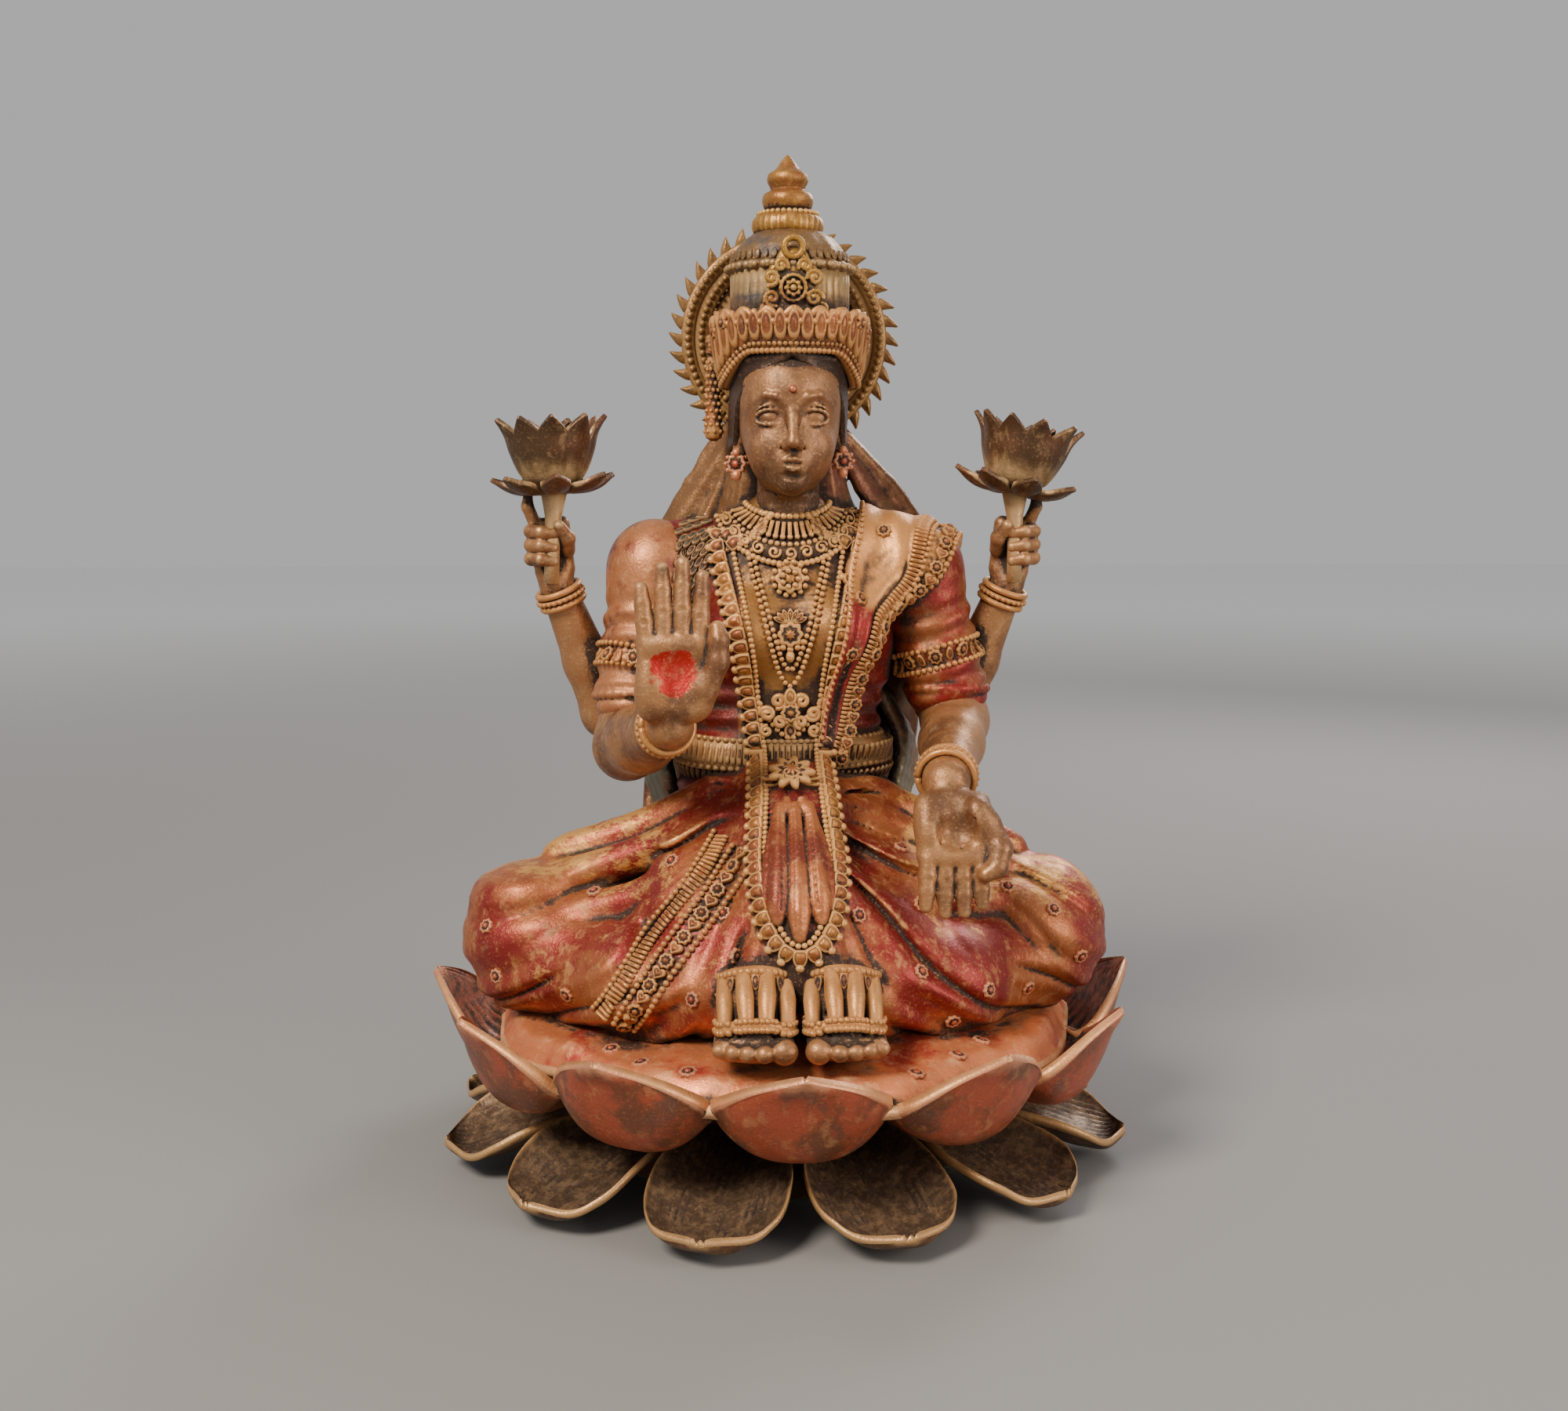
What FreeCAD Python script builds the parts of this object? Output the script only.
"""Seated four-armed goddess on a lotus, a painted cold-cast statuette, as separate bonded castings.

Frame: +Z up, the figure faces -Y, origin at the centre of the underside. Millimetres.
Right and left are the figure's own, so right is at -X.
"""
import FreeCAD, Part
import math
import os
import PartDesign
import Sketcher
from FreeCAD import Placement, Rotation, Vector

doc = FreeCAD.newDocument("lotus_statuette")
sheet = doc.addObject("Spreadsheet::Sheet", "sizes")

# Driving sizes in millimetres. "out" is the distance from the plane X = 0, "front" the distance from the
# axis towards the viewer (-Y), "rise" a height above the level that it is built on.
SIZES = {
    # base
    "pad_radius": 40.0, "pad_thick": 1.5,
    "core_foot_radius": 42.0, "core_neck_radius": 34.0, "core_neck_height": 12.0,
    "seat_radius": 47.0, "seat_edge": 4.0, "seat_height": 31.0,
    "recess_radius": 28.0, "recess_height": 14.0,
    "dowel_radius": 4.0, "dowel_length": 16.0, "dowel_clearance": 0.1,
    # petals
    "petal_wall": 1.8, "root_width": 12.0, "tip_width": 5.0,
    "lower_root_radius": 35.0, "lower_root_height": 15.0, "lower_tip_radius": 74.0,
    "lower_tip_height": 7.5, "lower_width": 25.0, "lower_cup": 5.0,
    "upper_root_radius": 40.0, "upper_root_height": 22.0, "upper_tip_radius": 75.0,
    "upper_tip_height": 38.5, "upper_belly_height": 22.0, "upper_width": 30.0, "upper_cup": 6.0,
    # cloth on the seat
    "drape_radius": 68.0, "drape_top_radius": 54.0, "drape_rise": 5.5, "drape_wide": 40.0, "drape_back": 30.0,
    # lap and legs
    "lap_height": 35.0, "lap_foot_wide": 36.0, "lap_foot_deep": 35.5, "lap_foot_front": 6.0,
    "lap_mid_wide": 32.0, "lap_mid_deep": 30.0, "lap_mid_front": 4.0,
    "hip_wide": 27.0, "hip_deep": 20.0, "hip_front": -2.0,
    "knee_out": 53.0, "knee_front": 12.0, "knee_rise": 18.0, "knee_radius": 14.5,
    "thigh_out": 22.0, "thigh_front": -2.0, "thigh_radius": 14.5,
    "shin_out": 30.0, "shin_front": 29.0, "shin_rise": 15.5, "shin_radius": 11.5,
    "ankle_out": 11.0, "ankle_front": 42.0, "ankle_rise": 15.0, "ankle_radius": 8.0,
    # feet
    "foot_out": 8.0, "heel_front": 42.0, "instep_front": 53.0, "ball_front": 59.0, "toe_front": 64.5,
    "heel_rise": 17.5, "instep_rise": 13.0, "ball_rise": 10.0, "toe_rise": 8.0, "foot_wide": 7.0,
    "heel_deep": 5.9, "instep_deep": 6.0, "ball_deep": 4.6, "toe_deep": 2.6,
    # torso
    "waist_rise": 14.0, "waist_wide": 22.5, "waist_deep": 16.5, "torso_front": 0.5,
    "chest_rise": 32.0, "chest_wide": 26.0, "chest_deep": 19.0,
    "shoulder_rise": 14.0, "shoulder_wide": 30.0, "shoulder_deep": 15.5,
    "neck_rise": 11.0, "neck_base_wide": 12.0, "neck_base_deep": 9.5,
    # head, crown and halo
    "neck_radius": 7.2, "neck_front": 1.0, "head_rise": 21.0, "head_front": 7.0,
    "head_wide": 11.8, "head_deep": 14.0, "head_tall": 17.5,
    "crown_front": 5.0, "crown_rise": 12.0, "band_radius": 14.6, "band_flare": 16.2, "band_tall": 8.5,
    "dome_radius": 12.4, "dome_tall": 9.0, "cap_radius": 6.4, "cap_tall": 7.0,
    "plaque_wide": 6.2, "plaque_tall": 13.5, "plaque_front": 3.0,
    "ring_one": 7.2, "ring_two": 5.3, "ring_three": 4.3, "ring_tall": 3.9, "tip_tall": 3.8,
    "halo_radius": 21.0, "halo_tooth": 3.6, "halo_thick": 3.0, "halo_gap": 15.5, "halo_drop": 5.0,
    "tassel_radius": 1.9, "tassel_length": 21.0, "tassel_out": 14.8, "earring_radius": 2.3, "earring_drop": 10.5,
    "earring_out": 10.6,
    # veil
    "veil_back": 14.0, "veil_head_wide": 13.0, "veil_shoulder_wide": 34.0, "veil_hem_wide": 36.0,
    "veil_thick": 7.0, "veil_hem_back": 26.0,
    # raised right arm in front
    "shoulder_out": 28.5, "shoulder_front": -3.0, "shoulder_ball": 9.0, "sleeve_radius": 9.2,
    "elbow_out": 32.5, "elbow_front": 5.0, "elbow_drop": 35.0, "elbow_radius": 7.4,
    "raised_wrist_out": 24.5, "raised_wrist_front": 40.0, "raised_wrist_rise": 12.0, "wrist_radius": 5.4,
    "palm_wide": 7.6, "palm_deep": 3.4, "palm_length": 17.0, "finger_length": 15.0, "finger_radius": 1.8,
    "thumb_length": 14.0, "hand_lean": 3.0,
    # lowered left arm in front
    "open_elbow_out": 36.0, "open_elbow_front": 1.0, "open_elbow_drop": 31.0,
    "open_wrist_out": 30.5, "open_wrist_front": 36.0, "open_wrist_drop": 8.5,
    "open_palm_wide": 8.4, "open_palm_length": 13.5, "open_palm_forward": 9.0, "open_finger_length": 11.0,
    # rear arms and the lotus flowers they hold
    "rear_shoulder_out": 26.0, "rear_back": 11.0, "rear_shoulder_radius": 6.5,
    "rear_elbow_out": 39.0, "rear_elbow_drop": 31.0, "rear_elbow_radius": 5.8,
    "rear_wrist_out": 49.5, "rear_wrist_back": 4.0, "rear_wrist_rise": 28.0, "rear_wrist_radius": 4.6,
    "fist_wide": 5.4, "fist_tall": 8.0, "fist_rise": 9.0,
    "stem_radius": 1.7, "flower_radius": 11.6, "flower_tall": 17.0, "flower_dish": 4.0, "flower_waist": 3.2,
    "flower_rise": 20.0, "bangle_wall": 1.3, "bangle_tall": 5.0,
    # dress and jewellery
    "cloth_thick": 1.6, "sash_top_out": 33.0, "sash_top_in": 16.0, "sash_foot_out": 22.0, "sash_foot_in": 8.0,
    "belt_tall": 6.5, "collar_wide": 16.0, "collar_proud": 2.4,
    "garland_radius": 2.1, "garland_neck_out": 13.5, "garland_chest_out": 12.5, "garland_waist_out": 6.8,
    "garland_lap_out": 7.6, "garland_foot_rise": 22.5, "garland_foot_front": 39.0,
    "medal_radius": 4.2, "medal_proud": 2.4, "pleat_wide": 4.2, "pleat_deep": 4.0,
    "anklet_wall": 1.4, "anklet_long": 3.0, "chain_radius": 1.0,
}


class Size:
    """A length that knows its number and the expression that FreeCAD keeps for it."""

    def __init__(self, value, text):
        self.value = value
        self.text = text

    def _with(self, other, sign, number):
        words = other.text if isinstance(other, Size) else repr(float(other))
        return Size(number, f"({self.text} {sign} {words})")

    def __add__(self, other):
        return self._with(other, "+", self.value + number_of(other))

    def __sub__(self, other):
        return self._with(other, "-", self.value - number_of(other))

    def __mul__(self, other):
        return self._with(other, "*", self.value * number_of(other))

    def __truediv__(self, other):
        return self._with(other, "/", self.value / number_of(other))

    def __neg__(self):
        return self * -1.0


def number_of(length):
    return length.value if isinstance(length, Size) else float(length)


class Sizes:
    """Every driving size as an attribute, with its cell in the sheet."""

    def __init__(self, table):
        for row, (alias, value) in enumerate(table.items(), start=1):
            sheet.set(f"A{row}", alias)
            sheet.set(f"B{row}", str(value))
            sheet.setAlias(f"B{row}", alias)
            setattr(self, alias, Size(value, f"sizes.{alias}"))


d = Sizes(SIZES)
doc.recompute()

# Levels, from the table up
LAP_TOP = d.seat_height + d.lap_height
WAIST = LAP_TOP + d.waist_rise
CHEST = WAIST + d.chest_rise
SHOULDER = CHEST + d.shoulder_rise
NECK = SHOULDER + d.neck_rise
FACE = NECK + d.head_rise
CROWN = FACE + d.crown_rise
BAND_TOP = CROWN + d.band_tall
CAP = BAND_TOP + d.dome_tall
CROWN_TOP = CAP + d.cap_tall
HALO = BAND_TOP - d.halo_drop
ARM_ROOT = SHOULDER - 4.0
ELBOW = ARM_ROOT - d.elbow_drop
OPEN_ELBOW = ARM_ROOT - d.open_elbow_drop
REAR_ROOT = SHOULDER - 6.0
REAR_ELBOW = REAR_ROOT - d.rear_elbow_drop
REAR_WRIST = REAR_ELBOW + d.rear_wrist_rise
RIGHT, LEFT = -1.0, 1.0
parts = {}
blanks = {}


# --- small helpers -------------------------------------------------------------------------------------
def bind(obj, path, length):
    """Set a property to a number, and tie it to the sheet when the length comes from there."""
    if isinstance(length, Size):
        obj.setExpression(path, length.text)
    else:
        obj.setExpression(path, repr(float(length)))


def place(obj, x, y, z):
    for axis, length in zip("xyz", (x, y, z)):
        bind(obj, f"Placement.Base.{axis}", length)
    return obj


def primitive(kind, x, y, z, turn=None, **sizes):
    """A Part primitive at a point, its sizes tied to the sheet. turn is (axis, degrees)."""
    obj = doc.addObject(f"Part::{kind}", kind.lower())
    if turn:
        obj.Placement = Placement(Vector(), Rotation(Vector(*turn[0]), turn[1]))
    place(obj, x, y, z)
    for name, length in sizes.items():
        bind(obj, name, length)
    return obj


TURNS = {"flat": None, "front": ((1, 0, 0), 90), "side": ((0, 1, 0), 90)}


def section(plane, x, y, z, wide, tall=None):
    """A round or oval section: flat lies in XY, front in XZ, side in YZ. Ovals are wider than tall."""
    if tall is None:
        return primitive("Circle", x, y, z, TURNS[plane], Radius=wide)
    return primitive("Ellipse", x, y, z, TURNS[plane], MajorRadius=wide, MinorRadius=tall)


def loft(sections):
    obj = doc.addObject("Part::Loft", "loft")
    obj.Sections = sections
    obj.Solid = True
    return obj


def ball(x, y, z, radius):
    return primitive("Sphere", x, y, z, Radius=radius)


def joined(*pieces):
    obj = doc.addObject("Part::MultiFuse", "joined")
    obj.Shapes = list(pieces)
    return obj


def trimmed(piece, *others):
    """piece with the room that its neighbours take cut away, so that they meet face to face."""
    for other in others:
        cut = doc.addObject("Part::Cut", "trimmed")
        cut.Base = piece
        cut.Tool = other
        piece = cut
    return piece


def node(name, obj):
    obj.Label = name
    parts[name] = obj
    blanks.setdefault(name, obj)
    return obj


def fitted(name, blank, *neighbours):
    """The named piece: its blank, less the blanks of neighbours that were made before it."""
    blanks[name] = blank
    return node(name, trimmed(blank, *(blanks[n] for n in neighbours)))


def plane_of(body, role):
    return next(f for f in body.Origin.OriginFeatures if f.Role == role)


def sketch_on(body, role, name):
    sketch = body.newObject("Sketcher::SketchObject", name)
    sketch.AttachmentSupport = [(plane_of(body, role), "")]
    sketch.MapMode = "FlatFace"
    return sketch


def pin_point(sketch, index, end, x, y):
    """Hold one end of a sketch line at (x, y) from the sketch's origin."""
    for kind, length in (("DistanceX", x), ("DistanceY", y)):
        size = number_of(length)
        if size == 0.0:
            axis = -2 if kind == "DistanceX" else -1
            sketch.addConstraint(Sketcher.Constraint("PointOnObject", index, end, axis))
            continue
        ends = (-1, 1, index, end) if size > 0 else (index, end, -1, 1)
        constraint = sketch.addConstraint(Sketcher.Constraint(kind, *ends, abs(size)))
        if isinstance(length, Size):
            text = length.text if size > 0 else (-length).text
            sketch.setExpression(f"Constraints[{constraint}]", text)


def outline(sketch, points):
    """A closed run of straight lines through points, each tied to the sheet."""
    spots = [Vector(number_of(x), number_of(y), 0) for x, y in points]
    count = len(spots)
    for i in range(count):
        sketch.addGeometry(Part.LineSegment(spots[i], spots[(i + 1) % count]), False)
    for i in range(count):
        sketch.addConstraint(Sketcher.Constraint("Coincident", i, 2, (i + 1) % count, 1))
    for i, (x, y) in enumerate(points):
        pin_point(sketch, i, 1, x, y)


def turned(name, points):
    """A PartDesign body turned about Z from a half profile of (radius, height) points."""
    body = doc.addObject("PartDesign::Body", name)
    profile = sketch_on(body, "XZ_Plane", f"{name}_profile")
    outline(profile, points)
    spin = body.newObject("PartDesign::Revolution", f"{name}_spin")
    spin.Profile = profile
    spin.ReferenceAxis = (profile, ["V_Axis"])
    spin.Angle = 360.0
    return body


# --- lotus base ----------------------------------------------------------------------------------------
def felt_pad():
    body = doc.addObject("PartDesign::Body", "felt_pad")
    disc = sketch_on(body, "XY_Plane", "felt_pad_disc")
    disc.addGeometry(Part.Circle(Vector(), Vector(0, 0, 1), d.pad_radius.value), False)
    disc.addConstraint(Sketcher.Constraint("Coincident", 0, 3, -1, 1))
    disc.addConstraint(Sketcher.Constraint("Radius", 0, d.pad_radius.value))
    disc.setExpression("Constraints[1]", d.pad_radius.text)
    pad = body.newObject("PartDesign::Pad", "felt_pad_pad")
    pad.Profile = disc
    bind(pad, "Length", d.pad_thick)
    return node("felt_pad", body)


def lotus_core():
    """A hollow turned core: foot, neck and seat, closed below by the felt, with a blind dowel hole on top."""
    hole = d.dowel_radius + d.dowel_clearance
    hole_floor = d.seat_height - d.dowel_length / 2.0
    body = turned("lotus_core", [
        (d.recess_radius, d.pad_thick),
        (d.core_foot_radius, d.pad_thick),
        (d.core_neck_radius, d.core_neck_height),
        (d.seat_radius, d.seat_height - d.seat_edge),
        (d.seat_radius, d.seat_height),
        (hole, d.seat_height),
        (hole, hole_floor),
        (0.0, hole_floor),
        (0.0, d.recess_height),
        (d.recess_radius, d.recess_height),
    ])
    return node("lotus_core", body)


def petal_section(body, name, radius, height, pitch, width, cup):
    """A crescent across the petal: an outer arc, an inner arc and two blunt rims."""
    sketch = sketch_on(body, "YZ_Plane", name)
    sketch.AttachmentOffset = Placement(Vector(), Rotation(Vector(1, 0, 0), -pitch))
    bind(sketch, "AttachmentOffset.Base.y", height)
    bind(sketch, "AttachmentOffset.Base.z", radius)
    half = width / 2.0
    arcs = ((half, cup), (half - d.petal_wall, cup - d.petal_wall))
    for reach, depth in arcs:
        bow = (reach * reach + depth * depth) / (depth * 2.0)
        across, down, radius_of = (number_of(v) for v in (reach, depth, bow))
        spread = math.asin(min(1.0, across / radius_of))
        centre = Vector(0, radius_of - down, 0)
        arc = Part.ArcOfCircle(
            Part.Circle(centre, Vector(0, 0, 1), radius_of), -math.pi / 2 - spread, -math.pi / 2 + spread)
        index = sketch.addGeometry(arc, False)
        sketch.addConstraint(Sketcher.Constraint("PointOnObject", index, 3, -2))
        sketch.addConstraint(Sketcher.Constraint("PointOnObject", index, 1, -1))
        sketch.addConstraint(Sketcher.Constraint("PointOnObject", index, 2, -1))
        held = sketch.addConstraint(Sketcher.Constraint("DistanceX", -1, 1, index, 2, across))
        sketch.setExpression(f"Constraints[{held}]", reach.text)
        held = sketch.addConstraint(Sketcher.Constraint("Radius", index, radius_of))
        sketch.setExpression(f"Constraints[{held}]", bow.text)
    outer, inner = (Vector(number_of(reach), 0, 0) for reach, depth in arcs)
    left = sketch.addGeometry(Part.LineSegment(-outer, -inner), False)
    right = sketch.addGeometry(Part.LineSegment(inner, outer), False)
    for one, end, other, start in ((left, 1, 0, 1), (left, 2, 1, 1), (right, 1, 1, 2), (right, 2, 0, 2)):
        sketch.addConstraint(Sketcher.Constraint("Coincident", one, end, other, start))
    return sketch


def petal(name, stations):
    """One cupped petal along +X, lofted through crescents at its stations."""
    body = doc.addObject("PartDesign::Body", name)
    sketches = [petal_section(body, f"{name}_{i}", *s) for i, s in enumerate(stations)]
    skin = body.newObject("PartDesign::AdditiveLoft", f"{name}_loft")
    skin.Profile = sketches[0]
    skin.Sections = sketches[1:]
    return body


def petal_ring(tier, stations, first_angle, count=12):
    """Twelve equal petals, each its own node: one petal cut to the core, and links to it turned about Z."""
    master = trimmed(petal(f"{tier}_petal_blank", stations), blanks["lotus_core"])
    step = 360.0 / count
    for i in range(count):
        name = f"{tier}_petal_{i + 1:02d}"
        if i == 0:
            obj = master
        else:
            obj = doc.addObject("App::Link", name)
            obj.LinkedObject = master
        obj.Placement = Placement(Vector(), Rotation(Vector(0, 0, 1), first_angle + i * step))
        node(name, obj)


def lower_petals():
    run = d.lower_tip_radius - d.lower_root_radius
    fall = d.lower_root_height - d.lower_tip_height
    petal_ring("lower", [
        (d.lower_root_radius, d.lower_root_height, 0.0, d.root_width, d.lower_cup * 0.6),
        (d.lower_root_radius + run * 0.3, d.lower_root_height - fall * 0.25, -12.0, d.lower_width * 0.88, d.lower_cup),
        (d.lower_root_radius + run * 0.6, d.lower_root_height - fall * 0.62, -16.0, d.lower_width, d.lower_cup),
        (d.lower_root_radius + run * 0.87, d.lower_root_height - fall * 0.95, -8.0, d.lower_width * 0.7,
         d.lower_cup * 0.8),
        (d.lower_tip_radius, d.lower_tip_height, 5.0, d.tip_width, d.petal_wall * 1.3),
    ], -75.0)


def upper_petals():
    run = d.upper_tip_radius - d.upper_root_radius
    climb = d.upper_tip_height - d.upper_belly_height
    petal_ring("upper", [
        (d.upper_root_radius, d.upper_root_height, 0.0, d.root_width, d.upper_cup * 0.6),
        (d.upper_root_radius + run * 0.35, d.upper_root_height + 0.5, 3.0, d.upper_width * 0.8, d.upper_cup),
        (d.upper_root_radius + run * 0.68, d.upper_belly_height + climb * 0.22, 28.0, d.upper_width, d.upper_cup),
        (d.upper_root_radius + run * 0.9, d.upper_belly_height + climb * 0.66, 52.0, d.upper_width * 0.68,
         d.upper_cup * 0.7),
        (d.upper_tip_radius, d.upper_tip_height, 62.0, d.tip_width, d.petal_wall * 1.3),
    ], -90.0)


# --- lap, legs and feet --------------------------------------------------------------------------------
def lap_solid():
    middle = d.seat_height + d.lap_height * 0.5
    return loft([
        section("flat", 0.0, -d.lap_foot_front, d.seat_height, d.lap_foot_wide, d.lap_foot_deep),
        section("flat", 0.0, -d.lap_mid_front, middle, d.lap_mid_wide, d.lap_mid_deep),
        section("flat", 0.0, -d.hip_front, LAP_TOP, d.hip_wide, d.hip_deep),
    ])


def leg(side):
    """Thigh, knee and shin under the cloth, folded out to the side and back to the ankle."""
    knee = (d.knee_out * side, -d.knee_front, d.seat_height + d.knee_rise)
    ankle = (d.ankle_out * side, -d.ankle_front, d.seat_height + d.ankle_rise)
    shin = (d.shin_out * side, -d.shin_front, d.seat_height + d.shin_rise)
    thigh = loft([
        section("side", d.thigh_out * side, -d.thigh_front, d.seat_height + d.knee_rise, d.thigh_radius),
        section("side", *knee, d.knee_radius),
    ])
    calf = loft([
        section("side", *knee, d.knee_radius * 0.9),
        section("side", *shin, d.shin_radius),
        section("side", *ankle, d.ankle_radius),
    ])
    return joined(thigh, ball(*knee, d.knee_radius * 1.03), calf)


def foot(side):
    x = d.foot_out * side
    rows = (
        (d.heel_front, d.heel_rise, d.foot_wide * 0.85, d.heel_deep),
        (d.instep_front, d.instep_rise, d.foot_wide * 0.95, d.instep_deep),
        (d.ball_front, d.ball_rise, d.foot_wide, d.ball_deep),
        (d.toe_front, d.toe_rise, d.foot_wide * 0.92, d.toe_deep),
    )
    return loft([section("front", x, -front, d.seat_height + rise, wide, deep) for front, rise, wide, deep in rows])


# --- torso and head ------------------------------------------------------------------------------------
def torso_solid(grow=0.0):
    """The torso, or a skin that stands grow proud of it for cloth."""
    def oval(level, wide, deep):
        return section("flat", 0.0, -d.torso_front, level, wide + grow, deep + grow)
    return loft([
        oval(LAP_TOP, d.hip_wide - 1.0, d.hip_deep - 1.0),
        oval(WAIST, d.waist_wide, d.waist_deep),
        oval(CHEST, d.chest_wide, d.chest_deep),
        oval(SHOULDER, d.shoulder_wide, d.shoulder_deep),
        oval(NECK, d.neck_base_wide, d.neck_base_deep),
    ])


def head_solid():
    skull = primitive("Ellipsoid", 0.0, -d.head_front, FACE, Radius1=d.head_tall, Radius2=d.head_deep,
                      Radius3=d.head_wide, Angle1=-90.0)
    skull.Placement = Placement(skull.Placement.Base, Rotation(Vector(0, 0, 1), 90))
    place(skull, 0.0, -d.head_front, FACE)
    neck = primitive("Cylinder", 0.0, -d.neck_front, NECK, Radius=d.neck_radius, Height=d.head_rise)
    return joined(skull, neck)


def ear_stud(side):
    """A round stud that stands out from the ear lobe."""
    inner = d.earring_out * side - d.earring_radius * 0.5
    return primitive("Cylinder", inner, -d.head_front, FACE - d.earring_drop, TURNS["side"],
                     Radius=d.earring_radius, Height=d.earring_radius)


def crown_solid():
    body = turned("crown_blank", [
        (0.0, CROWN),
        (d.band_radius, CROWN),
        (d.band_flare, BAND_TOP),
        (d.dome_radius, BAND_TOP),
        (d.dome_radius, CAP),
        (d.cap_radius, CROWN_TOP),
        (0.0, CROWN_TOP),
    ])
    bind(body, "Placement.Base.y", -d.crown_front)
    return body


def finial():
    """Three shrinking turned rings under a pointed tip."""
    rings = (d.ring_one, d.ring_two, d.ring_three)
    points = [(0.0, CROWN_TOP)]
    for i, radius in enumerate(rings):
        foot_level = CROWN_TOP + d.ring_tall * float(i)
        points += [
            (radius * 0.78, foot_level),
            (radius, foot_level + d.ring_tall * 0.3),
            (radius, foot_level + d.ring_tall * 0.6),
            (radius * 0.72, foot_level + d.ring_tall),
        ]
    points.append((0.0, CROWN_TOP + d.ring_tall * 3.0 + d.tip_tall))
    body = turned("crown_finial", points)
    bind(body, "Placement.Base.y", -d.crown_front)
    return body


def plaque():
    """An upright pointed leaf on the front of the crown."""
    body = doc.addObject("PartDesign::Body", "plaque_blank")
    face = sketch_on(body, "XZ_Plane", "plaque_face")
    foot_level = BAND_TOP
    outline(face, [
        (-d.plaque_wide * 0.7, foot_level),
        (d.plaque_wide * 0.7, foot_level),
        (d.plaque_wide, foot_level + d.plaque_tall * 0.35),
        (d.plaque_wide * 0.75, foot_level + d.plaque_tall * 0.72),
        (0.0, foot_level + d.plaque_tall),
        (-d.plaque_wide * 0.75, foot_level + d.plaque_tall * 0.72),
        (-d.plaque_wide, foot_level + d.plaque_tall * 0.35),
    ])
    pad = body.newObject("PartDesign::Pad", "plaque_pad")
    pad.Profile = face
    bind(pad, "Length", d.crown_front + d.dome_radius + d.plaque_front)
    return body


def halo_blank():
    """A flat disc with pointed flames all round, standing behind the crown."""
    body = doc.addObject("PartDesign::Body", "halo_blank")
    disc = sketch_on(body, "XZ_Plane", "halo_disc")
    disc.addGeometry(Part.Circle(Vector(), Vector(0, 0, 1), d.halo_radius.value), False)
    disc.addConstraint(Sketcher.Constraint("Coincident", 0, 3, -1, 1))
    disc.addConstraint(Sketcher.Constraint("Radius", 0, d.halo_radius.value))
    disc.setExpression("Constraints[1]", d.halo_radius.text)
    pad = body.newObject("PartDesign::Pad", "halo_pad")
    pad.Profile = disc
    bind(pad, "Length", d.halo_thick)
    flame = sketch_on(body, "XZ_Plane", "halo_flame")
    foot_level = d.halo_radius - 0.6
    outline(flame, [(-1.5, foot_level), (1.5, foot_level), (0.3, d.halo_radius + d.halo_tooth),
                    (-0.3, d.halo_radius + d.halo_tooth)])
    tooth = body.newObject("PartDesign::Pad", "halo_tooth_pad")
    tooth.Profile = flame
    bind(tooth, "Length", d.halo_thick)
    doc.recompute()
    pattern = body.newObject("PartDesign::PolarPattern", "halo_teeth")
    pattern.Originals = [tooth]
    pattern.Axis = (disc, ["N_Axis"])
    pattern.Angle = 360.0
    pattern.Occurrences = 36
    body.Tip = pattern
    place(body, 0.0, d.halo_gap - d.crown_front + d.halo_thick, HALO)
    return body


def veil_blank():
    """The head cloth that falls behind the shoulders to the seat."""
    rows = (
        (HALO - d.halo_radius - d.halo_tooth - 1.0, d.veil_back * 0.45, d.veil_head_wide, d.veil_thick * 0.8),
        (NECK + 2.0, d.veil_back * 0.7, d.veil_head_wide * 1.35, d.veil_thick),
        (SHOULDER, d.veil_back, d.veil_shoulder_wide, d.veil_thick),
        (CHEST, d.veil_back * 1.2, d.veil_shoulder_wide, d.veil_thick),
        (LAP_TOP, d.veil_hem_back * 0.9, d.veil_hem_wide * 0.85, d.veil_thick),
        (d.seat_height, d.veil_hem_back, d.veil_hem_wide, d.veil_thick),
    )
    return loft([section("flat", 0.0, back, level, wide, thick) for level, back, wide, thick in rows])


# --- arms and hands ------------------------------------------------------------------------------------
def upper_arm(side, elbow_out, elbow_front, elbow_level):
    root = (d.shoulder_out * side, -d.shoulder_front, ARM_ROOT)
    elbow = (elbow_out * side, -elbow_front, elbow_level)
    sleeve_level = elbow_level + 9.0
    sleeve = (elbow_out * side, -elbow_front + 3.0, sleeve_level)
    arm = loft([
        section("flat", *root, d.shoulder_ball),
        section("flat", *sleeve, d.sleeve_radius),
        section("flat", *elbow, d.elbow_radius),
    ])
    return joined(arm, ball(*root, d.shoulder_ball * 1.04), ball(*elbow, d.elbow_radius * 1.04))


def bangle(x, y, z, radius, turn):
    return primitive("Cylinder", x, y, z, TURNS[turn], Radius=radius + d.bangle_wall, Height=d.bangle_tall)


def raised_forearm():
    wrist_level = ELBOW + d.raised_wrist_rise
    limb = loft([
        section("front", -d.elbow_out, -d.elbow_front, ELBOW, d.elbow_radius * 0.97),
        section("front", -d.raised_wrist_out, -d.raised_wrist_front, wrist_level, d.wrist_radius),
    ])
    ring = bangle(-d.raised_wrist_out - 0.9, -d.raised_wrist_front + 6.0, wrist_level - 1.6, d.wrist_radius + 0.4,
                  "front")
    return joined(limb, ring)


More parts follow.
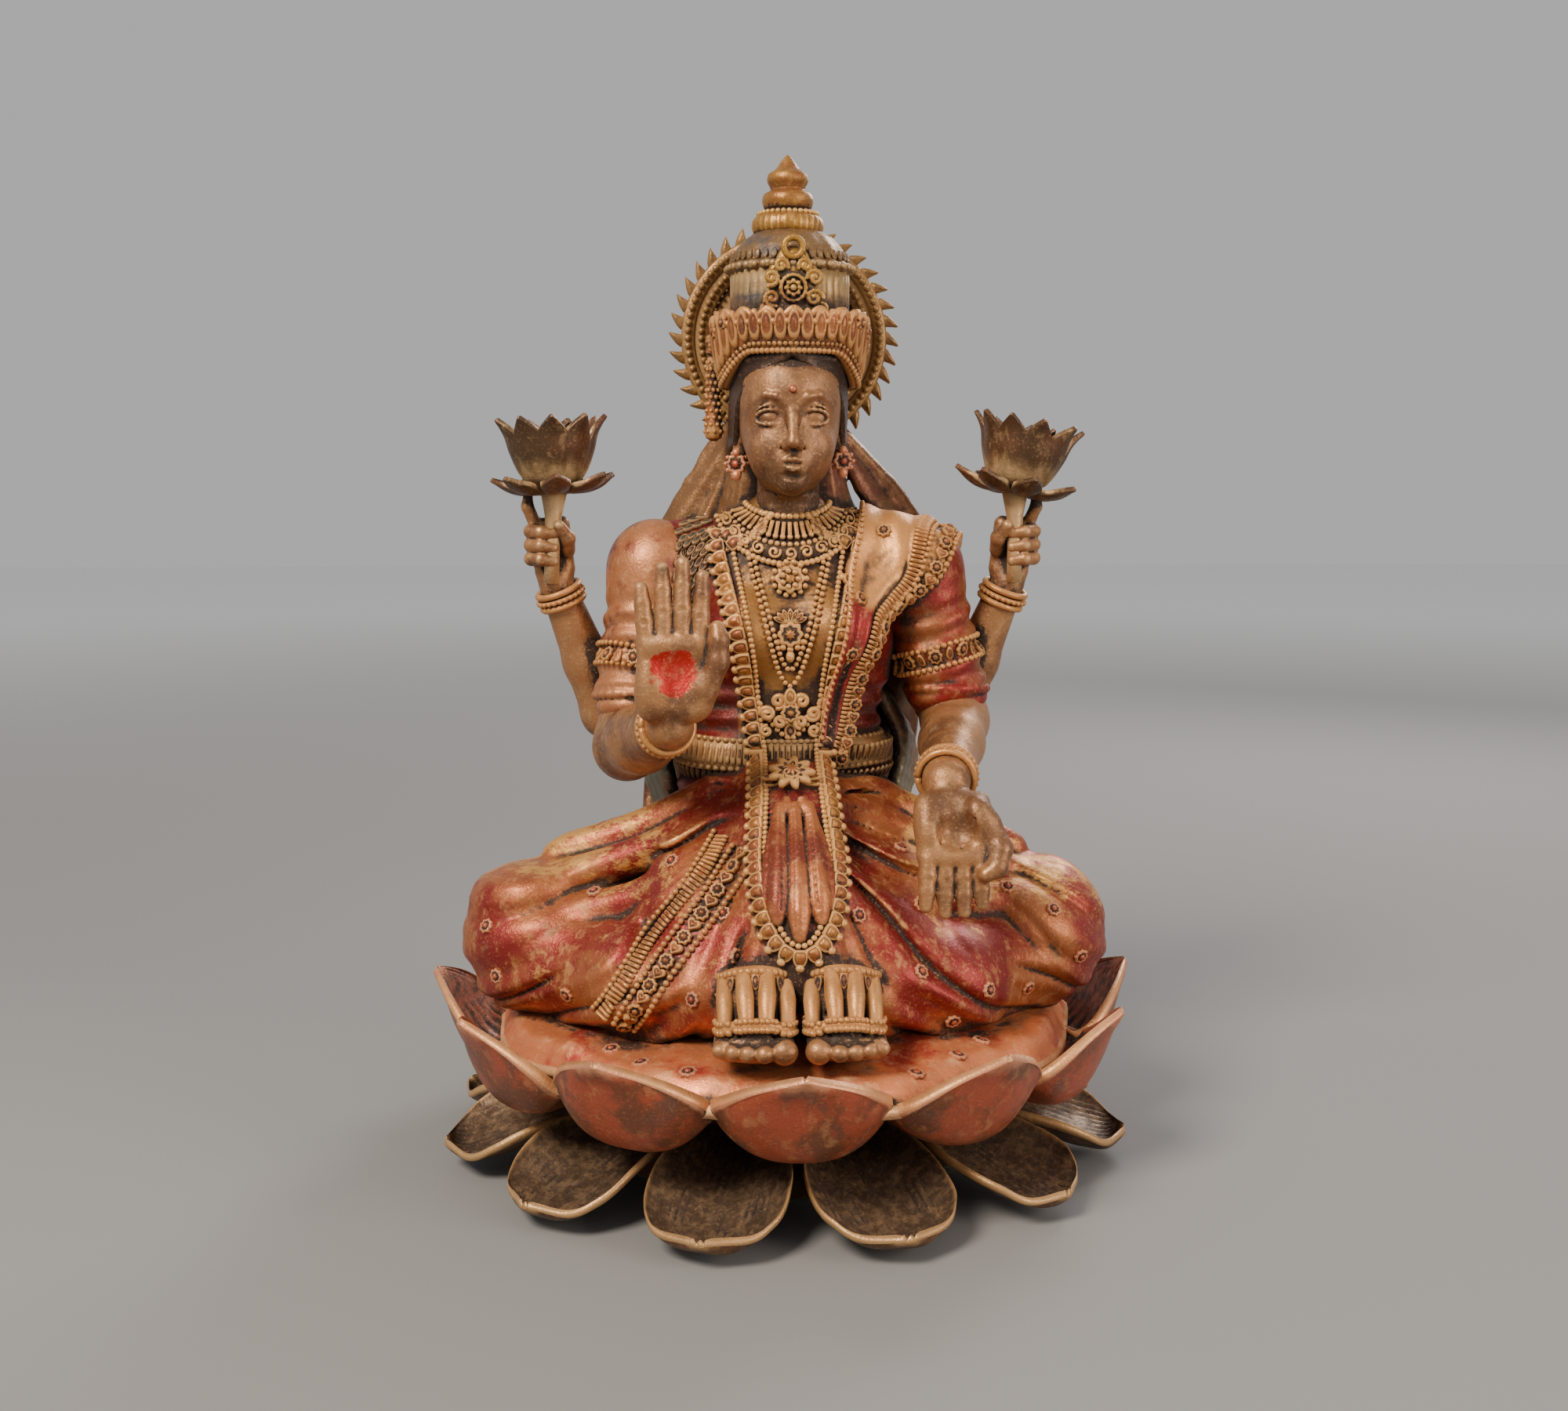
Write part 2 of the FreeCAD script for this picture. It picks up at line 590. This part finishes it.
def raised_hand():
    """Palm to the front, four straight fingers up and the thumb beside them."""
    x = -d.raised_wrist_out
    y = -d.raised_wrist_front - 2.0
    wrist = ELBOW + d.raised_wrist_rise - 3.5
    knuckles = wrist + d.palm_length
    palm = loft([
        section("flat", x, y, wrist, d.wrist_radius * 0.98, d.palm_deep * 1.25),
        section("flat", x, y - d.hand_lean * 0.4, wrist + d.palm_length * 0.45, d.palm_wide, d.palm_deep),
        section("flat", x, y - d.hand_lean, knuckles, d.palm_wide * 0.95, d.palm_deep * 0.75),
    ])
    fingers = []
    for i, share in enumerate((0.8, 0.95, 1.0, 0.93)):
        spot = x - d.palm_wide * 0.71 + d.palm_wide * (0.475 * i)
        fingers.append(primitive("Cone", spot, y - d.hand_lean, knuckles - 1.0, Radius1=d.finger_radius,
                                 Radius2=d.finger_radius * 0.75, Height=d.finger_length * share))
    thumb = primitive("Cone", x + d.palm_wide * 0.95, y - d.hand_lean, wrist + 5.0, Radius1=d.finger_radius * 1.3,
                      Radius2=d.finger_radius * 0.85, Height=d.thumb_length)
    return joined(palm, thumb, *fingers)


def open_forearm():
    wrist_level = OPEN_ELBOW - d.open_wrist_drop
    limb = loft([
        section("front", d.open_elbow_out, -d.open_elbow_front, OPEN_ELBOW, d.elbow_radius * 0.97),
        section("front", d.open_wrist_out, -d.open_wrist_front, wrist_level, d.wrist_radius),
    ])
    ring = bangle(d.open_wrist_out + 0.5, -d.open_wrist_front + 6.0, wrist_level + 1.0, d.wrist_radius + 0.4,
                  "front")
    return joined(limb, ring)


def open_hand():
    """Palm to the front, fingers down over the knee."""
    x = d.open_wrist_out
    y = -d.open_wrist_front - 1.0
    wrist = OPEN_ELBOW - d.open_wrist_drop + 3.0
    knuckles = wrist - d.open_palm_length
    palm = loft([
        section("flat", x, y, wrist, d.wrist_radius, d.palm_deep * 1.2),
        section("flat", x, y - d.open_palm_forward * 0.55, wrist - d.open_palm_length * 0.55, d.open_palm_wide,
                d.palm_deep),
        section("flat", x, y - d.open_palm_forward, knuckles, d.open_palm_wide * 0.92, d.palm_deep * 0.8),
    ])
    fingers = []
    for i, share in enumerate((0.93, 1.0, 0.95, 0.8)):
        spot = x - d.open_palm_wide * 0.7 + d.open_palm_wide * (0.46 * i)
        fingers.append(primitive("Cone", spot, y - d.open_palm_forward, knuckles + 1.0, ((1, 0, 0), 170),
                                 Radius1=d.finger_radius * 1.1, Radius2=d.finger_radius * 0.8,
                                 Height=d.open_finger_length * share))
    return joined(palm, *fingers)


def rear_arm(side):
    """Upper arm, forearm, bangle and a closed hand, cast in one behind the front arm."""
    root = (d.rear_shoulder_out * side, d.rear_back, REAR_ROOT)
    elbow = (d.rear_elbow_out * side, d.rear_back, REAR_ELBOW)
    wrist = (d.rear_wrist_out * side, d.rear_wrist_back, REAR_WRIST)
    upper = loft([section("flat", *root, d.rear_shoulder_radius), section("flat", *elbow, d.rear_elbow_radius)])
    fore = loft([section("flat", *elbow, d.rear_elbow_radius), section("flat", *wrist, d.rear_wrist_radius)])
    fist = primitive("Ellipsoid", d.rear_wrist_out * side, 0.0, REAR_WRIST + d.fist_rise * 0.8, Radius1=d.fist_tall,
                     Radius2=d.fist_wide, Radius3=d.fist_wide * 0.9, Angle1=-90.0)
    bind(fist, "Placement.Base.y", d.rear_wrist_back - 2.5)
    share = 0.85
    across = d.rear_elbow_out + (d.rear_wrist_out - d.rear_elbow_out) * share
    back = d.rear_back + (d.rear_wrist_back - d.rear_back) * share
    ring = bangle(across * side, back, REAR_ELBOW + d.rear_wrist_rise * share - 2.0, d.rear_wrist_radius + 0.8, "flat")
    return joined(upper, ball(*elbow, d.rear_elbow_radius * 1.04), fore, fist, ring)


def held_lotus(name, side):
    """A turned blossom on a stem that passes down through the closed hand."""
    foot_level = REAR_WRIST + 2.0
    cup = REAR_WRIST + d.flower_rise
    body = turned(name, [
        (0.0, foot_level),
        (d.stem_radius, foot_level),
        (d.stem_radius, cup - 2.0),
        (d.flower_waist, cup),
        (d.flower_radius * 0.72, cup + d.flower_tall * 0.3),
        (d.flower_radius, cup + d.flower_tall),
        (d.flower_radius - 2.0, cup + d.flower_tall),
        (d.flower_radius * 0.5, cup + d.flower_tall - d.flower_dish),
        (0.0, cup + d.flower_tall - d.flower_dish),
    ])
    place(body, d.rear_wrist_out * side, d.rear_wrist_back - 2.5, 0.0)
    return node(name, body)


# --- dress and jewellery -------------------------------------------------------------------------------
def sash_shape():
    """Where the shoulder cloth lies, seen from the front."""
    body = doc.addObject("PartDesign::Body", "sash_cutter")
    face = sketch_on(body, "XZ_Plane", "sash_face")
    outline(face, [
        (d.sash_foot_in, WAIST + 3.0),
        (d.sash_foot_out, WAIST + 4.0),
        (d.sash_top_out, CHEST),
        (d.sash_top_out, SHOULDER + 6.0),
        (d.sash_top_in, NECK + 2.0),
        (d.sash_top_in - 1.0, CHEST),
    ])
    pad = body.newObject("PartDesign::Pad", "sash_pad")
    pad.Profile = face
    bind(pad, "Length", d.chest_deep + 20.0)
    return body


def garland_path():
    """Points of the long garland, down the right side and up the left."""
    front = -number_of(d.torso_front)
    chest_face = front - d.chest_deep.value
    waist_face = front - d.waist_deep.value
    neck_face = front - d.neck_base_deep.value
    half = [
        (d.garland_neck_out.value, neck_face + 1.5, NECK.value - 2.0),
        (d.garland_chest_out.value, chest_face + 3.0, SHOULDER.value - 2.0),
        (d.garland_chest_out.value * 0.85, chest_face - 0.3, CHEST.value),
        (d.garland_waist_out.value, (chest_face + waist_face) / 2, (CHEST.value + WAIST.value) / 2),
        (d.garland_waist_out.value, waist_face - 1.8, WAIST.value),
        (d.garland_waist_out.value, front - d.hip_deep.value - 1.0, LAP_TOP.value + 1.0),
        (d.garland_lap_out.value, -d.garland_foot_front.value + 11.0, d.seat_height.value + 27.5),
        (d.garland_lap_out.value * 0.75, -d.garland_foot_front.value + 3.0,
         d.seat_height.value + d.garland_foot_rise.value + 1.0),
    ]
    foot = (0.0, -d.garland_foot_front.value, d.seat_height.value + d.garland_foot_rise.value - 2.0)
    right = [Vector(-x, y, z) for x, y, z in half]
    left = [Vector(x, y, z) for x, y, z in reversed(half)]
    return right + [Vector(*foot)] + left


def run_through(name, path, radius):
    """A round strand through points, with a ball at each bend. Part::Feature: its path isn't in one plane."""
    pieces = [Part.makeSphere(radius * 1.02, p) for p in path]
    for start, end in zip(path, path[1:]):
        pieces.append(Part.makeCylinder(radius, (end - start).Length, start, end - start))
    obj = doc.addObject("Part::Feature", name)
    obj.Shape = pieces[0].multiFuse(pieces[1:])
    return obj


def collar_blank():
    """A wide plate necklace over the chest and shoulders."""
    foot_oval = section("flat", 0.0, -d.torso_front - d.neck_base_deep * 0.35, SHOULDER - 3.0,
                        d.collar_wide, d.shoulder_deep + d.collar_proud - 3.0)
    neck_oval = section("flat", 0.0, -d.torso_front, NECK + 1.0, d.neck_base_wide + d.collar_proud,
                        d.neck_base_deep + d.collar_proud)
    return loft([foot_oval, neck_oval])


def belt_blank():
    grow = d.cloth_thick + 1.0
    return loft([section("flat", 0.0, -d.torso_front, level, d.waist_wide + grow, d.waist_deep + grow)
                 for level in (WAIST - 1.0, WAIST - 1.0 + d.belt_tall)])


def sash_blank():
    """The shoulder cloth: a skin of the torso under the outline that it has from the front."""
    sash = doc.addObject("Part::Common", "sash_blank")
    sash.Base = torso_solid(d.cloth_thick)
    sash.Tool = sash_shape()
    return sash


def pleat_blank():
    """The stack of pleats that falls from the belt to the ankles."""
    return loft([
        section("flat", 0.0, -d.torso_front - d.waist_deep - 1.0, WAIST - 1.0, d.pleat_wide, d.pleat_deep * 0.9),
        section("flat", 0.0, -d.torso_front - d.hip_deep - 0.5, LAP_TOP, d.pleat_wide, d.pleat_deep),
        section("flat", 0.0, -d.garland_foot_front + 7.0, d.seat_height + d.garland_foot_rise + 3.5,
                d.pleat_wide * 0.9, d.pleat_deep * 0.85),
    ])


def pendant_blank():
    """Four round pendants that stand proud of the chest, one above another, on a thin chain."""
    rows = (
        (SHOULDER - 2.0, d.medal_radius, d.torso_front + d.shoulder_deep - 4.2),
        (CHEST + 3.0, d.medal_radius * 0.85, d.torso_front + d.chest_deep - 5.0),
        (WAIST + 14.0, d.medal_radius, d.torso_front + d.chest_deep - 6.5),
        (WAIST + 3.5, d.medal_radius * 0.95, d.torso_front + d.waist_deep - 2.0),
    )
    reach = d.medal_proud + 5.0
    discs = [primitive("Cylinder", 0.0, -front, level, TURNS["front"], Radius=radius, Height=reach)
             for level, radius, front in rows]
    spots = [Vector(0, -front.value - reach.value + 1.2, level.value) for level, radius, front in rows]
    return joined(run_through("pendant_chain", spots, d.chain_radius.value), *discs)


def anklet_blank():
    """A band over each ankle and one over each instep."""
    reach = d.foot_out + d.foot_wide + d.anklet_wall
    rows = (
        (d.heel_front + 3.5, d.heel_rise, d.foot_wide * 0.88, d.heel_deep),
        (d.instep_front + 1.5, d.instep_rise - 0.6, d.foot_wide * 0.9, d.instep_deep),
    )
    bands = []
    for front, rise, wide, deep in rows:
        for side in (RIGHT, LEFT):
            bands.append(loft([
                section("front", d.foot_out * side, -front - forward, d.seat_height + rise,
                        wide + d.anklet_wall, deep + d.anklet_wall) for forward in (0.0, d.anklet_long)]))
    heel, instep = rows
    top_half = doc.addObject("Part::Common", "anklet_blank")
    top_half.Base = joined(*bands)
    top_half.Tool = primitive("Box", -reach, -instep[0] - d.anklet_long - 1.0, d.seat_height + instep[1] + 0.7,
                              Length=reach * 2.0, Width=instep[0] - heel[0] + d.anklet_long + 2.0,
                              Height=d.heel_rise + d.heel_deep)
    return top_half


def drape_blank():
    """The end of the dress that spreads over the front of the seat under the feet."""
    front_room = primitive("Box", -d.drape_wide, -(d.drape_radius + 1.0), d.seat_height,
                           Length=d.drape_wide * 2.0, Width=d.drape_radius + 1.0 - d.drape_back,
                           Height=d.drape_rise)
    cone = primitive("Cone", 0.0, 0.0, d.seat_height, Radius1=d.drape_radius, Radius2=d.drape_top_radius,
                     Height=d.drape_rise)
    drape = doc.addObject("Part::Common", "drape_blank")
    drape.Base = cone
    drape.Tool = front_room
    return drape


# --- assembly ------------------------------------------------------------------------------------------
# Where two pieces would fill the same room it belongs to the one made first: each later piece is its own
# untrimmed blank less the blanks of the neighbours named with it.
felt_pad()
lotus_core()
lower_petals()
upper_petals()

dowel = primitive("Cylinder", 0.0, 0.0, d.seat_height - d.dowel_length / 2.0, Radius=d.dowel_radius,
                  Height=d.dowel_length)
node("seat_dowel", dowel)
blanks["dowel_hole"] = primitive("Cylinder", 0.0, 0.0, d.seat_height - d.dowel_length / 2.0,
                                 Radius=d.dowel_radius + d.dowel_clearance,
                                 Height=d.dowel_length + d.dowel_clearance)
fitted("lap", lap_solid(), "dowel_hole")
fitted("right_leg", leg(RIGHT), "lap")
fitted("left_leg", leg(LEFT), "lap")
fitted("right_foot", foot(RIGHT), "lap", "right_leg")
fitted("left_foot", foot(LEFT), "lap", "left_leg")
fitted("seat_drape", drape_blank(), "lap", "right_leg", "left_leg", "right_foot", "left_foot")

fitted("torso", torso_solid())
fitted("head", head_solid())
fitted("crown", crown_solid(), "head")
fitted("crown_finial", finial())
fitted("crown_plaque", plaque(), "crown")
fitted("halo", halo_blank(), "crown")
tassel = primitive("Cylinder", -d.tassel_out, -d.crown_front + 3.0, CROWN + 2.0 - d.tassel_length,
                   Radius=d.tassel_radius, Height=d.tassel_length)
fitted("crown_tassel", tassel, "crown", "head")
for name, side in (("right_earring", RIGHT), ("left_earring", LEFT)):
    fitted(name, ear_stud(side), "head")

fitted("right_upper_arm", upper_arm(RIGHT, d.elbow_out, d.elbow_front, ELBOW), "torso")
fitted("left_upper_arm", upper_arm(LEFT, d.open_elbow_out, d.open_elbow_front, OPEN_ELBOW), "torso")
fitted("right_forearm", raised_forearm(), "right_upper_arm", "torso")
fitted("left_forearm", open_forearm(), "left_upper_arm", "torso")
fitted("right_hand", raised_hand(), "right_forearm")
fitted("left_hand", open_hand(), "left_forearm", "left_leg", "lap")

held_lotus("right_lotus", RIGHT)
held_lotus("left_lotus", LEFT)
fitted("rear_right_arm", rear_arm(RIGHT), "torso", "right_upper_arm", "right_lotus")
fitted("rear_left_arm", rear_arm(LEFT), "torso", "left_upper_arm", "left_lotus")
fitted("back_veil", veil_blank(), "torso", "head", "lap", "right_upper_arm", "left_upper_arm", "rear_right_arm",
       "rear_left_arm")

fitted("collar_necklace", collar_blank(), "torso", "head", "right_upper_arm", "left_upper_arm")
fitted("waist_belt", belt_blank(), "torso", "right_forearm", "left_forearm")
fitted("shoulder_sash", sash_blank(), "torso", "head", "collar_necklace", "waist_belt", "left_upper_arm",
       "left_forearm")
fitted("garland", run_through("garland_blank", garland_path(), d.garland_radius.value), "torso", "lap", "head", "collar_necklace", "waist_belt", "shoulder_sash",
       "right_foot", "left_foot")
fitted("pleat_panel", pleat_blank(), "garland", "waist_belt", "torso", "lap")
fitted("pendants", pendant_blank(), "torso", "collar_necklace", "garland", "waist_belt", "shoulder_sash",
       "pleat_panel")
fitted("anklets", anklet_blank(), "right_foot", "left_foot", "right_leg", "left_leg")

doc.recompute()
failed = [o.Label for o in doc.Objects if "Invalid" in o.State or "Error" in o.State]
if failed:
    raise SystemExit(f"these objects failed to build: {failed}")

os.makedirs("parts", exist_ok=True)
for old in os.listdir("parts"):
    if old.endswith(".step"):
        os.remove(os.path.join("parts", old))
for name, obj in parts.items():
    shape = Part.getShape(obj)
    if shape.isNull() or not shape.isValid() or not shape.Solids:
        raise SystemExit(f"{name} isn't a valid solid")
    solid = shape.Solids[0] if len(shape.Solids) == 1 else Part.makeCompound(shape.Solids)
    solid.exportStep(f"parts/{name}.step")
    box = shape.BoundBox
    print(f"{name:18s} solids {len(shape.Solids):2d}  volume {shape.Volume:9.1f}"
          f"  x {box.XMin:6.1f} {box.XMax:6.1f}  y {box.YMin:6.1f} {box.YMax:6.1f}  z {box.ZMin:6.1f} {box.ZMax:6.1f}")
